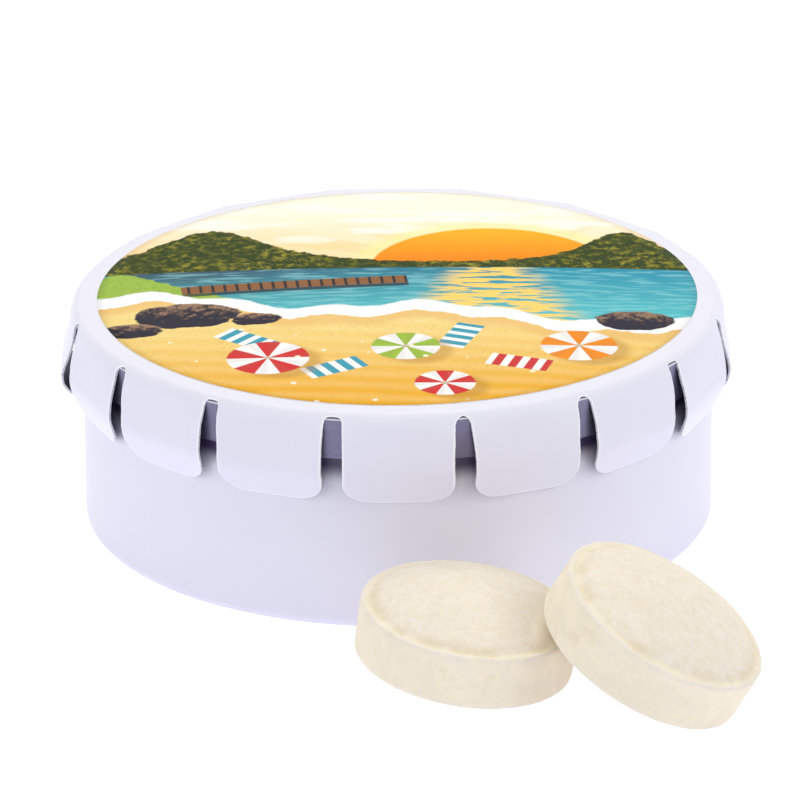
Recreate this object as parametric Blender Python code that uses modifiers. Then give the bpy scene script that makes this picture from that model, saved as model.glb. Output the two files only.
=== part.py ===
"""Round click-lid tin for mints, with its mints.

A drawn tinplate cup has its mouth folded outward into a flat hem. The lid is one
pressed sheet: a domed centre that is pushed in with a thumb, a rounded shoulder
that sits on the hem, and sixteen petals whose creased lips grip below it. Pushing
the centre splays the petals and frees the lid. Five mints lie in the tin and two
lie in front of it, the right one leaning on the left one.

Metres, +Z up, -Y to the front. The origin is the centre of the flat base.
"""

import math

import bmesh
import bpy
from mathutils import Matrix, Vector

MM = 0.001

# Sheet metal and clearances
SHEET = 0.25 * MM
PIECE_GAP = 0.3 * MM
LIFT_CLEARANCE = 0.15 * MM

# Tin body
TIN_RADIUS = 23.35 * MM
TIN_HEIGHT = 16.45 * MM
BASE_CORNER_RADIUS = 1.2 * MM
HEM_DEPTH = 3.15 * MM

# Lid
PETAL_COUNT = 16
CREASE_THROW = 0.37 * MM
CREASE_RADIUS = 1.6 * MM
SLIT_WIDTH = 1.4 * MM
PETAL_CORNER_RADIUS = 1.8 * MM
CREASE_DROP = 3.2 * MM
LIP_DEPTH = 2.9 * MM
SHOULDER_END_ANGLE = math.radians(30)
PANEL_DOME = 0.5 * MM

# Label
LABEL_INSET = 1.15 * MM
LABEL_THICKNESS = 0.1 * MM
LABEL_MARGIN = 0.1 * MM
LABEL_GAP = 0.05 * MM

# Mints
MINT_RADIUS = 7.8 * MM
MINT_BAND = 4.0 * MM
MINT_DOME = 2.0 * MM
MINT_EDGE_RADIUS = 0.5 * MM
MINT_LEFT_ASIDE = 4.7 * MM
MINT_LEFT_BEFORE = 2.45 * MM
MINT_LEFT_TILT = math.radians(8.8)
MINT_LEFT_LEAN = math.radians(-22)
MINT_RIGHT_TILT = math.radians(30.6)
MINT_RIGHT_LEAN = math.radians(-16)

# Mesh fineness
TURN_STEPS = 64
MINT_STEPS = 28
DOME_SEGMENTS = 3
MINT_DOME_SEGMENTS = 4
ARC_SEGMENTS = 3
RIM_SEGMENTS = 6
PETAL_STRIPS = 4
MINT_EDGE_SEGMENTS = 2
MERGE_DISTANCE = 0.001 * MM

# Directions, in degrees, in which the gap between two leaning mints is looked for
GAP_TEST_TURN = 60
GAP_TEST_RISE = 80
GAP_TEST_STEP = 5

# Derived: tin body
TIN_INNER_RADIUS = TIN_RADIUS - SHEET
HEM_RADIUS = TIN_RADIUS + SHEET
HEM_TOP = TIN_HEIGHT - SHEET
HEM_BOTTOM = TIN_HEIGHT - HEM_DEPTH
BASE_INNER_RADIUS = BASE_CORNER_RADIUS - SHEET

# Derived: lid, whose shoulder is struck from the same centre as the hem's fold
SHOULDER_INSIDE = SHEET + PIECE_GAP
SHOULDER_OUTSIDE = SHOULDER_INSIDE + SHEET
LID_PLANE = HEM_TOP + SHOULDER_OUTSIDE
LABEL_RADIUS = TIN_RADIUS - LABEL_INSET
PANEL_RADIUS = LABEL_RADIUS + LABEL_MARGIN
SHOULDER_INNER_RADIUS = PANEL_RADIUS + PIECE_GAP
CREASE_HEIGHT = HEM_TOP - CREASE_DROP
PETAL_TOP_RADIUS = TIN_RADIUS + SHOULDER_OUTSIDE
PETAL_TOP_HEIGHT = HEM_TOP + SHOULDER_INSIDE * math.sin(SHOULDER_END_ANGLE) - PIECE_GAP / 2
CREASE_APOTHEM = PETAL_TOP_RADIUS + CREASE_THROW
LIP_APOTHEM = HEM_RADIUS + LIFT_CLEARANCE + SHEET
LIP_HEIGHT = CREASE_HEIGHT - LIP_DEPTH
HALF_SECTOR = math.pi / PETAL_COUNT

# Derived: hinge line of a petal, in the middle of the sheet at its top edge
HINGE_RADIUS = PETAL_TOP_RADIUS - SHEET / 2
HINGE_HEIGHT = PETAL_TOP_HEIGHT

# Derived: mints
MINT_HALF_HEIGHT = MINT_BAND / 2 + MINT_DOME
MINT_RING_RADIUS = TIN_INNER_RADIUS - PIECE_GAP - MINT_RADIUS
MINT_INSIDE_HEIGHT = SHEET + PIECE_GAP + MINT_HALF_HEIGHT
MINT_HALF_STEP = math.asin((MINT_RADIUS + PIECE_GAP / 2) / MINT_RING_RADIUS)
MINTS_INSIDE = int(math.pi / MINT_HALF_STEP)
MINT_LEFT_PLACE = Vector((MINT_LEFT_ASIDE, -(TIN_RADIUS + MINT_LEFT_BEFORE + MINT_RADIUS)))

# Colours, roughness and metallic value of each finish
FINISHES = {
    "tin_enamel": ((0.80, 0.80, 0.87), 0.32, 0.0),
    "lid_enamel": ((0.84, 0.83, 0.89), 0.28, 0.0),
    "label_print": ((0.93, 0.62, 0.20), 0.35, 0.0),
    "mint_sugar": ((0.88, 0.82, 0.68), 0.85, 0.0),
}


def clear_scene():
    for thing in list(bpy.data.objects):
        bpy.data.objects.remove(thing, do_unlink=True)


def make_collection(name):
    collection = bpy.data.collections.new(name)
    bpy.context.scene.collection.children.link(collection)
    return collection


def make_material(name):
    colour, roughness, metallic = FINISHES[name]
    material = bpy.data.materials.new(name)
    material.use_nodes = True
    shader = material.node_tree.nodes["Principled BSDF"]
    shader.inputs["Base Color"].default_value = (*colour, 1)
    shader.inputs["Roughness"].default_value = roughness
    shader.inputs["Metallic"].default_value = metallic
    return material


def add_object(name, mesh, collection):
    thing = bpy.data.objects.new(name, mesh)
    collection.objects.link(thing)
    return thing


def arc(centre, radius, start, end, segments):
    """Points on an arc in the (radius, height) plane, angles in degrees from +R."""
    points = []
    for step in range(segments + 1):
        angle = math.radians(start + (end - start) * step / segments)
        points.append((centre[0] + radius * math.cos(angle), centre[1] + radius * math.sin(angle)))
    return points


def profile_mesh(name, points, closed, material):
    """A line of (radius, height) points, to be turned about Z by a Screw modifier."""
    shape = bmesh.new()
    corners = [shape.verts.new((radius, 0, height)) for radius, height in points]
    for start, end in zip(corners, corners[1:]):
        shape.edges.new((start, end))
    if closed:
        shape.edges.new((corners[-1], corners[0]))
    mesh = bpy.data.meshes.new(name)
    shape.to_mesh(mesh)
    shape.free()
    mesh.materials.append(material)
    return mesh


def add_turn(thing, steps):
    turn = thing.modifiers.new("turn", "SCREW")
    turn.axis = "Z"
    turn.steps = steps
    turn.render_steps = steps
    turn.use_smooth_shade = True
    turn.use_merge_vertices = True
    turn.merge_threshold = MERGE_DISTANCE


def add_wall(thing, thickness):
    wall = thing.modifiers.new("wall", "SOLIDIFY")
    wall.thickness = thickness
    wall.offset = -1
    wall.use_even_offset = True


def tin_profile():
    """Inside of the base, up the wall, over the folded hem and down the outside."""
    points = [(0, SHEET)]
    inner_corner = (TIN_INNER_RADIUS - BASE_INNER_RADIUS, BASE_CORNER_RADIUS)
    points += arc(inner_corner, BASE_INNER_RADIUS, -90, 0, ARC_SEGMENTS)
    points += arc((TIN_RADIUS, HEM_TOP), SHEET, 180, 0, RIM_SEGMENTS)
    points += [(HEM_RADIUS, HEM_BOTTOM), (TIN_RADIUS, HEM_BOTTOM)]
    outer_corner = (TIN_RADIUS - BASE_CORNER_RADIUS, BASE_CORNER_RADIUS)
    points += arc(outer_corner, BASE_CORNER_RADIUS, 0, -90, ARC_SEGMENTS)
    points.append((0, 0))
    return points


def make_tin_body(collection, enamel):
    mesh = profile_mesh("tin_body", tin_profile(), False, enamel)
    add_turn(add_object("tin_body", mesh, collection), TURN_STEPS)


def shoulder_profile():
    """The lid's ring: flat next to the panel, then rounded over the hem."""
    centre = (TIN_RADIUS, HEM_TOP)
    end = math.degrees(SHOULDER_END_ANGLE)
    points = [(SHOULDER_INNER_RADIUS, LID_PLANE)]
    points += arc(centre, SHOULDER_OUTSIDE, 90, end, ARC_SEGMENTS)
    points += arc(centre, SHOULDER_INSIDE, end, 90, ARC_SEGMENTS)
    points.append((SHOULDER_INNER_RADIUS, LID_PLANE - SHEET))
    return points


def make_lid_shoulder(collection, enamel):
    mesh = profile_mesh("lid_shoulder", shoulder_profile(), True, enamel)
    add_turn(add_object("lid_shoulder", mesh, collection), TURN_STEPS)


def dome_profile(radius, edge_height, dome):
    """A shallow dome from its middle out to its edge."""
    points = []
    for step in range(DOME_SEGMENTS + 1):
        share = step / DOME_SEGMENTS
        points.append((radius * share, edge_height + dome * (1 - share * share)))
    return points


def make_dome(name, radius, top, thickness, collection, material):
    mesh = profile_mesh(name, dome_profile(radius, top, PANEL_DOME), False, material)
    thing = add_object(name, mesh, collection)
    add_turn(thing, TURN_STEPS)
    add_wall(thing, thickness)


def petal_stations():
    """(apothem, height, roundness) down a petal: its top edge, its crease, its lip."""
    upper = Vector((CREASE_APOTHEM - PETAL_TOP_RADIUS, CREASE_HEIGHT - PETAL_TOP_HEIGHT))
    lower = Vector((LIP_APOTHEM - CREASE_APOTHEM, LIP_HEIGHT - CREASE_HEIGHT))
    crease = Vector((CREASE_APOTHEM, CREASE_HEIGHT))
    turn = upper.angle(lower)
    back = CREASE_RADIUS * math.tan(turn / 2)
    bend_start = crease - upper.normalized() * back
    bend_end = crease + lower.normalized() * back
    middle = (bend_start + bend_end) / 2
    bend_middle = middle + (crease - middle) / 2
    half_way = (Vector((PETAL_TOP_RADIUS, PETAL_TOP_HEIGHT)) + bend_start) / 2
    return [
        (PETAL_TOP_RADIUS, PETAL_TOP_HEIGHT, 1),
        (half_way.x, half_way.y, 1 / 2),
        (bend_start.x, bend_start.y, 0),
        (bend_middle.x, bend_middle.y, 0),
        (bend_end.x, bend_end.y, 0),
        (LIP_APOTHEM, LIP_HEIGHT, 0),
    ]


def petal_mesh(enamel):
    """One petal as an open sheet, +X outward, with its hinge line through the origin."""
    stations = petal_stations()
    shape = bmesh.new()
    rows = len(stations) - 1
    bmesh.ops.create_grid(shape, x_segments=PETAL_STRIPS, y_segments=rows, size=1)
    for corner in shape.verts:
        across = corner.co.x
        row = round((1 - corner.co.y) / 2 * rows)
        apothem, height, roundness = stations[row]
        side = across * (apothem * math.tan(HALF_SECTOR) - SLIT_WIDTH / 2)
        sagitta = apothem - math.sqrt(apothem * apothem - side * side)
        corner.co = (apothem - roundness * sagitta - HINGE_RADIUS, side, height - HINGE_HEIGHT)
    lowest = min(corner.co.z for corner in shape.verts)
    tips = [
        corner
        for corner in shape.verts
        if len(corner.link_edges) == 2 and corner.co.z - lowest < MERGE_DISTANCE
    ]
    bmesh.ops.bevel(
        shape,
        geom=tips,
        offset=PETAL_CORNER_RADIUS,
        segments=ARC_SEGMENTS,
        profile=0.5,
        affect="VERTICES",
        material=-1,
        clamp_overlap=True,
    )
    mesh = bpy.data.meshes.new("lid_petal")
    shape.to_mesh(mesh)
    shape.free()
    mesh.materials.append(enamel)
    return mesh


def make_petals(collection, enamel):
    mesh = petal_mesh(enamel)
    mesh.shade_smooth()
    for number in range(PETAL_COUNT):
        azimuth = 2 * HALF_SECTOR * number - math.pi / 2
        petal = add_object(f"lid_petal_{number + 1:02d}", mesh, collection)
        petal.location = (
            HINGE_RADIUS * math.cos(azimuth),
            HINGE_RADIUS * math.sin(azimuth),
            HINGE_HEIGHT,
        )
        petal.rotation_euler.z = azimuth
        add_wall(petal, SHEET)


def mint_half_profile():
    """The upper half of a mint, from the top of its dome to the middle of its band."""
    face_radius = MINT_RADIUS - MINT_EDGE_RADIUS
    points = []
    for step in range(MINT_DOME_SEGMENTS):
        share = step / MINT_DOME_SEGMENTS
        points.append((face_radius * share, MINT_BAND / 2 + MINT_DOME * (1 - share * share)))
    edge_centre = (face_radius, MINT_BAND / 2 - MINT_EDGE_RADIUS)
    return points + arc(edge_centre, MINT_EDGE_RADIUS, 90, 0, MINT_EDGE_SEGMENTS)


def mint_profile():
    upper = mint_half_profile()
    return upper + [(radius, -height) for radius, height in reversed(upper)]


def standing_height(tilt):
    """Height of a tilted mint's centre when its lowest point rests on the ground."""
    lowest = min(
        height * math.cos(tilt) - radius * math.sin(tilt) for radius, height in mint_profile()
    )
    return -lowest


def leaning_placement(place, tilt, azimuth):
    """A mint on the ground whose axis leans by tilt towards an azimuth."""
    lean = Matrix.Rotation(azimuth, 4, "Z") @ Matrix.Rotation(tilt, 4, "Y")
    return Matrix.Translation((place[0], place[1], standing_height(tilt))) @ lean


def reach(placement, direction):
    """How far a placed mint reaches along a direction."""
    along = placement.to_3x3().transposed() @ direction
    aside = math.hypot(along.x, along.y)
    furthest = max(aside * radius + along.z * height for radius, height in mint_profile())
    return placement.translation.dot(direction) + furthest


def gap_between(first, second, azimuth):
    """The gap from one placed mint to the next, which lies towards an azimuth from it."""
    widest = -MINT_RADIUS
    for turn in range(-GAP_TEST_TURN, GAP_TEST_TURN + 1, GAP_TEST_STEP):
        for rise in range(0, GAP_TEST_RISE + 1, GAP_TEST_STEP):
            heading = azimuth + math.radians(turn)
            level = math.cos(math.radians(rise))
            up = math.sin(math.radians(rise))
            direction = Vector((level * math.cos(heading), level * math.sin(heading), up))
            widest = max(widest, -reach(second, -direction) - reach(first, direction))
    return widest


def leaning_pair():
    """The left mint's placement and that of the right one, moved out until they just clear."""
    left = leaning_placement(MINT_LEFT_PLACE, MINT_LEFT_TILT, MINT_LEFT_LEAN)
    heading = Vector((math.cos(MINT_RIGHT_LEAN), math.sin(MINT_RIGHT_LEAN)))
    near, far = MINT_RADIUS, 3 * MINT_RADIUS
    while far - near > MERGE_DISTANCE:
        middle = (near + far) / 2
        place = MINT_LEFT_PLACE + heading * middle
        right = leaning_placement(place, MINT_RIGHT_TILT, MINT_RIGHT_LEAN)
        if gap_between(left, right, MINT_RIGHT_LEAN) < PIECE_GAP:
            near = middle
        else:
            far = middle
    return left, right


def add_mint(name, mesh, placement, collection):
    mint = add_object(name, mesh, collection)
    mint.matrix_world = placement
    add_turn(mint, MINT_STEPS)


def make_mints(collection, sugar):
    mesh = profile_mesh("mint", mint_profile(), False, sugar)
    for number in range(MINTS_INSIDE):
        azimuth = 2 * math.pi * number / MINTS_INSIDE + math.pi / 2
        place = (
            MINT_RING_RADIUS * math.cos(azimuth),
            MINT_RING_RADIUS * math.sin(azimuth),
            MINT_INSIDE_HEIGHT,
        )
        add_mint(f"mint_inside_{number + 1}", mesh, Matrix.Translation(place), collection)
    left, right = leaning_pair()
    add_mint("mint_front_left", mesh, left, collection)
    add_mint("mint_front_right", mesh, right, collection)


def main():
    clear_scene()
    collection = make_collection("mint_tin")
    finishes = {name: make_material(name) for name in FINISHES}
    make_tin_body(collection, finishes["tin_enamel"])
    make_lid_shoulder(collection, finishes["lid_enamel"])
    make_dome("lid_panel", PANEL_RADIUS, LID_PLANE, SHEET, collection, finishes["lid_enamel"])
    label_top = LID_PLANE + LABEL_GAP + LABEL_THICKNESS
    label_finish = finishes["label_print"]
    make_dome("lid_label", LABEL_RADIUS, label_top, LABEL_THICKNESS, collection, label_finish)
    make_petals(collection, finishes["lid_enamel"])
    make_mints(collection, finishes["mint_sugar"])


main()
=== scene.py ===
from math import atan2, cos, exp, hypot, pi, radians, sin, sqrt, tan

import bmesh
import bpy
from bpy.props import FloatProperty, FloatVectorProperty, IntProperty, PointerProperty
from mathutils import Matrix, Vector, noise
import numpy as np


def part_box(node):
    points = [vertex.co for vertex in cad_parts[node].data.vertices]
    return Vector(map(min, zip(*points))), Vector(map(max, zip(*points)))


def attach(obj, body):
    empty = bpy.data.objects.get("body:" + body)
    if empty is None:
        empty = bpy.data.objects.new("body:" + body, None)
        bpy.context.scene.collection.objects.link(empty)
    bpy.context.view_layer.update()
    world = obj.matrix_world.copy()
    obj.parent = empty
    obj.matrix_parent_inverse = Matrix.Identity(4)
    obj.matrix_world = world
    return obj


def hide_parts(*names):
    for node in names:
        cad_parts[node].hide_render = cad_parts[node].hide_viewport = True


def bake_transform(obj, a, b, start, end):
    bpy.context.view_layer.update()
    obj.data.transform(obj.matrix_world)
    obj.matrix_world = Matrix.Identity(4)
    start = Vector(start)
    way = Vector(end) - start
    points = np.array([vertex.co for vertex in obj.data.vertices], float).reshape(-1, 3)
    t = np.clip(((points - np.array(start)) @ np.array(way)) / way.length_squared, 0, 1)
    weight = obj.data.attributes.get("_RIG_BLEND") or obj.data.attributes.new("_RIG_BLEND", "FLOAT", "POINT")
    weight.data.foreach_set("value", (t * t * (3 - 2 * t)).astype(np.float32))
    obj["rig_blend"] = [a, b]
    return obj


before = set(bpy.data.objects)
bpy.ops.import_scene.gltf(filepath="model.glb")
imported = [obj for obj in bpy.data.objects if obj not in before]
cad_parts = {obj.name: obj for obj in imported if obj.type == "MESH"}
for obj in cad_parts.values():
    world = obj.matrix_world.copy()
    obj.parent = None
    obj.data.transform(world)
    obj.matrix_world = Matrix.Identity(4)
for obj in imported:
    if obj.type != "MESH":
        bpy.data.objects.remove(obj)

bl_info = {
    "name": "Mint Tin",
    "version": (1, 0, 0),
    "blender": (4, 5, 0),
    "location": "View3D > Sidebar > Mint Tin",
    "description": "Dresses a round click-lid mint tin, its printed label and its mints",
    "category": "Object",
}

MM = 0.001
MERGE = 0.002 * MM
PETALS = 16
HALF_SECTOR = pi / PETALS
SHARP = radians(50)
DISC_STEPS = 192
DISC_RINGS = 24
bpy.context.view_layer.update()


# ---- settings


def length(name, description, default):
    return FloatProperty(
        name=name, description=description, default=default * MM, min=0, unit="LENGTH", precision=5
    )


def tint(name, description, default):
    return FloatVectorProperty(
        name=name, description=description, default=default, min=0, max=1, subtype="COLOR"
    )


def power(name, description, default):
    return FloatProperty(name=name, description=description, default=default, min=0)


class TinSettings(bpy.types.PropertyGroup):
    radius: length("Radius", "Outside of the cup's wall", 23.35)
    height: length("Height", "Height of the folded mouth", 16.5)
    sheet: length("Sheet", "Thickness of the tinplate", 0.25)
    base_corner: length("Base corner", "Radius between wall and base", 1.0)
    hem: length("Hem", "How far the hem stands out", 0.59)
    hem_depth: length("Hem depth", "How far down the hem reaches", 3.05)
    # painted shade: how far down from the top the neck's enamel is darkened
    shade_depth: length("Painted shade depth", "How far down the sheet is bare", 5.15)
    steps: IntProperty(name="Steps", description="Facets round the cup", default=288, min=32)


class LidSettings(bpy.types.PropertyGroup):
    sheet: length("Sheet", "Thickness of the tinplate", 0.22)
    plane: length("Top", "Height of the flat ring", 17.0)
    shoulder_start: length("Shoulder start", "Where the shoulder begins", 23.42)
    shoulder_width: length("Shoulder width", "How far the shoulder reaches out", 0.80)
    shoulder_depth: length("Shoulder depth", "How far the shoulder rolls down", 1.30)
    crease_radius: length("Crease", "Radius of the petals' crease", 24.5)
    crease_height: length("Crease height", "Height of the petals' crease", 12.45)
    crease_bend: length("Crease bend", "Radius of the bend at the crease", 3.0)
    lip_radius: length("Lip", "Radius of the petals' lower edge", 23.68)
    lip_height: length("Lip height", "Height of the petals' lower edge", 10.1)
    lip_corner: length("Lip corner", "Width of a petal's lower corner", 2.2)
    lip_corner_rise: length("Lip corner rise", "Height of a petal's lower corner", 1.7)
    slit_half: length("Slit", "Half the width of a slit", 0.675)
    slit_top: length("Slit top", "How far down a slit begins", 0.72)
    dome: length("Dome", "Height of the sprung centre", 0.5)


class LabelSettings(bpy.types.PropertyGroup):
    radius: length("Radius", "Radius of the printed film", 22.2)
    film: length("Film", "Thickness of the printed film", 0.05)
    glue: length("Glue", "Thickness of the glue below the film", 0.005)


class MintSettings(bpy.types.PropertyGroup):
    radius: length("Radius", "Radius of a mint", 7.8)
    band: length("Band", "Height of the straight side", 4.0)
    dome: length("Dome", "Height of each domed face", 2.0)
    groove: length("Groove", "Depth of the groove in the faces", 0.10)
    chips: length("Chips", "Depth of the chips in the edge", 0.07)
    grain: length("Grain", "Height of the sugar's grain", 0.012)
    steps: IntProperty(name="Steps", description="Facets round a mint", default=224, min=32)


class FinishSettings(bpy.types.PropertyGroup):
    enamel: tint("Enamel", "White enamel of cup and lid", (0.80, 0.79, 0.865))
    # the tinplate's dark colour is partly its own and partly painted shade in the hollows that it lines
    tinplate: tint("Tinplate", "Bare sheet inside and on the hem", (0.17, 0.16, 0.245))
    sugar: tint("Sugar", "Pressed sugar of the mints", (0.915, 0.83, 0.63))
    sand_near: tint("Near sand", "Print: sand at the front", (0.84, 0.43, 0.038))
    sand_far: tint("Far sand", "Print: sand at the water", (0.90, 0.69, 0.25))
    sea: tint("Sea", "Print: water near the shore", (0.10, 0.50, 0.54))
    hills: tint("Hills", "Print: far hills", (0.03, 0.05, 0.01))
    sun: tint("Sun", "Print: the sun", (0.90, 0.20, 0.01))


class StageSettings(bpy.types.PropertyGroup):
    floor: tint("Floor", "Colour of the floor", (0.52, 0.52, 0.56))
    floor_seen: tint("Floor seen", "The floor as it is seen", (0.86, 0.86, 0.92))
    floor_glow: tint("Floor glow", "Light that the floor sends up", (0.59, 0.59, 0.69))
    sky: power("Sky", "Even white light", 0.28)
    above: power("Above", "Wide lamp above", 2.18)
    behind: power("Behind", "Lamp high behind", 1.56)
    left: power("Left", "Lamp at the left", 0.60)
    left_front: power("Left front", "Lamp at the left front", 0.92)
    front: power("Front", "Cool lamp in front", 0.26)
    front_tint: tint("Front tint", "Colour of that lamp", (0.60, 0.70, 1.0))
    right: power("Right", "Lamp at the right", 1.20)
    right_front: power("Right front", "Lamp at the right front", 0.46)


class MintTinSettings(bpy.types.PropertyGroup):
    tin: PointerProperty(type=TinSettings)
    lid: PointerProperty(type=LidSettings)
    label: PointerProperty(type=LabelSettings)
    mints: PointerProperty(type=MintSettings)
    finish: PointerProperty(type=FinishSettings)
    stage: PointerProperty(type=StageSettings)


# ---- shader maths


def maths(operation, swapped=False):
    """A method that adds one maths node to the graph."""

    def method(self, *others):
        values = (*others, self) if swapped else (self, *others)
        return self.graph.node("ShaderNodeMath", {"operation": operation}, dict(enumerate(values)))

    return method


class Value:
    """A shader socket whose maths reads as Python."""

    __add__ = __radd__ = maths("ADD")
    __sub__ = maths("SUBTRACT")
    __rsub__ = maths("SUBTRACT", swapped=True)
    __mul__ = __rmul__ = maths("MULTIPLY")
    __truediv__ = maths("DIVIDE")
    __rtruediv__ = maths("DIVIDE", swapped=True)
    most = maths("MAXIMUM")
    size = maths("ABSOLUTE")
    wave = maths("SINE")
    power = maths("POWER")
    angle_from = maths("ARCTAN2")

    def __init__(self, graph, socket):
        self.graph = graph
        self.socket = socket

    def above(self, level, softness):
        """0 below a level and 1 above it, with a soft step."""
        return self.graph.node(
            "ShaderNodeMapRange",
            {"interpolation_type": "SMOOTHSTEP"},
            {0: self, 1: level - softness, 2: level + softness, 3: 0.0, 4: 1.0},
        )

    def below(self, level, softness):
        return 1 - self.above(level, softness)


class Graph:
    """A node tree that materials and the world are built in."""

    def __init__(self, tree):
        self.tree = tree

    def node(self, kind, settings=None, sockets=None, output=0):
        made = self.tree.nodes.new(kind)
        for key, value in (settings or {}).items():
            setattr(made, key, value)
        for key, value in (sockets or {}).items():
            self.feed(made.inputs[key], value)
        return Value(self, made.outputs[output])

    def feed(self, socket, value):
        if isinstance(value, Value):
            self.tree.links.new(value.socket, socket)
        elif socket.type == "RGBA":
            socket.default_value = (*value[:3], 1)
        else:
            socket.default_value = value

    def seen(self):
        """1 for rays of the camera, mirrors and glass, and 0 for soft light."""
        path = self.node("ShaderNodeLightPath").socket.node
        kinds = ("Camera", "Glossy", "Transmission")
        camera, glossy, through = (Value(self, path.outputs[f"Is {kind} Ray"]) for kind in kinds)
        return camera.most(glossy).most(through)


class Finish(Graph):
    """A procedural material, measured in millimetres."""

    def __init__(self, name, roughness, metallic=0.0):
        self.material = bpy.data.materials.new(name)
        self.material.use_nodes = True
        super().__init__(self.material.node_tree)
        self.shader = self.tree.nodes["Principled BSDF"]
        self.set("Roughness", roughness)
        self.set("Metallic", metallic)
        sockets = {0: self.node("ShaderNodeTexCoord", output="Object"), "Scale": 1 / MM}
        self.place = self.node("ShaderNodeVectorMath", {"operation": "SCALE"}, sockets)

    def set(self, name, value):
        self.feed(self.shader.inputs[name], value)

    def mark(self, name):
        """A value that the mesh carries at its corners."""
        return self.node("ShaderNodeAttribute", {"attribute_name": name}, output="Fac")

    def axes(self):
        split = self.node("ShaderNodeSeparateXYZ", sockets={0: self.place}).socket.node
        return [Value(self, output) for output in split.outputs]

    def noise(self, scale, detail=2.0, roughness=0.5, stretch=None):
        """Noise from 0 to 1, with a scale in waves per millimetre."""
        at = self.place
        if stretch:
            at = self.node("ShaderNodeVectorMath", {"operation": "MULTIPLY"}, {0: at, 1: stretch})
        sockets = {"Vector": at, "Scale": scale, "Detail": detail, "Roughness": roughness}
        return self.node("ShaderNodeTexNoise", sockets=sockets)

    def cells(self, scale):
        """Distance to the nearest of the points strewn at this scale."""
        return self.node("ShaderNodeTexVoronoi", sockets={"Vector": self.place, "Scale": scale})

    def mix(self, share, first, second):
        """From the first colour to the second by a share."""
        sockets = {0: share, 6: first, 7: second}
        return self.node("ShaderNodeMix", {"data_type": "RGBA"}, sockets, output=2)

    def bump(self, height, distance, strength):
        sockets = {"Height": height, "Distance": distance, "Strength": strength}
        self.set("Normal", self.node("ShaderNodeBump", sockets=sockets))


# ---- finishes


# painted shade: the colour that the enamel below the hem darkens to, behind the petals
PAINTED_NECK_SHADE = (0.06, 0.045, 0.11)


def shade(colour, factor):
    return tuple(min(1.0, channel * factor) for channel in colour)


def enamel_finish(colour):
    """White enamel: faint mottling, orange peel, a little dust and a painted highlight along the rolled cut
    edges.
    """
    made = Finish("white_enamel", 0.3)
    mottle = made.noise(0.35, 3.0)
    cloud = made.mix(mottle, shade(colour, 0.985), shade(colour, 1.015))
    # painted highlight: paler colour along the cut edges, by the rim mark
    cloud = made.mix(made.mark("rim"), cloud, shade(colour, 1.3))
    dust = made.cells(1.1).below(0.035, 0.015) * made.noise(0.8).above(0.62, 0.04)
    made.set("Base Color", made.mix(dust * 0.35, cloud, shade(colour, 0.45)))
    made.set("Roughness", 0.3 + 0.1 * made.noise(1.5, 4.0))
    made.set("Specular IOR Level", 0.08)
    made.bump(made.noise(1.6, 3.0), 0.01 * MM, 0.5)
    return made.material


def painted_neck_shade_finish(colour, low, high):
    """Enamel with painted shade that darkens between two heights, up to deep painted shade below the hem."""
    made = Finish("thin_enamel", 0.4)
    _, _, up = made.axes()
    height = (up - low / MM) / ((high - low) / MM) + 0.12 * (made.noise(1.2, 3.0) - 0.5)
    # painted shade: how far the colour has darkened, rising towards the hem with a ragged edge
    darkened = height.above(0.34, 0.36)
    made.set("Base Color", made.mix(darkened, colour, PAINTED_NECK_SHADE))
    made.bump(made.noise(1.6, 3.0), 0.01 * MM, 0.5)
    return made.material


def tinplate_and_shade_finish(colour):
    """Bare rolled tinplate, with fine lines round the tin; its dark colour is partly the metal's own and
    partly painted shade in the slits and under the lid.
    """
    made = Finish("bare_tinplate", 0.4, 0.7)
    lines = made.noise(1.0, 3.0, stretch=(0.4, 0.4, 14.0))
    made.set("Base Color", made.mix(lines, shade(colour, 0.8), shade(colour, 1.2)))
    made.set("Roughness", 0.3 + 0.2 * made.noise(0.7, 3.0))
    made.bump(lines, 0.01 * MM, 0.4)
    return made.material


def cut_edge_finish(colour):
    """The lid's cut edges: drawn enamel, chipped to dark metal in specks."""
    made = Finish("cut_edge", 0.45)
    chips = made.noise(5.0, 3.0, 0.6).above(0.60, 0.06)
    made.set("Base Color", made.mix(chips * 0.8, shade(colour, 0.85), shade(colour, 0.2)))
    made.bump(made.noise(4.0, 3.0), 0.03 * MM, 0.6)
    return made.material


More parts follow.
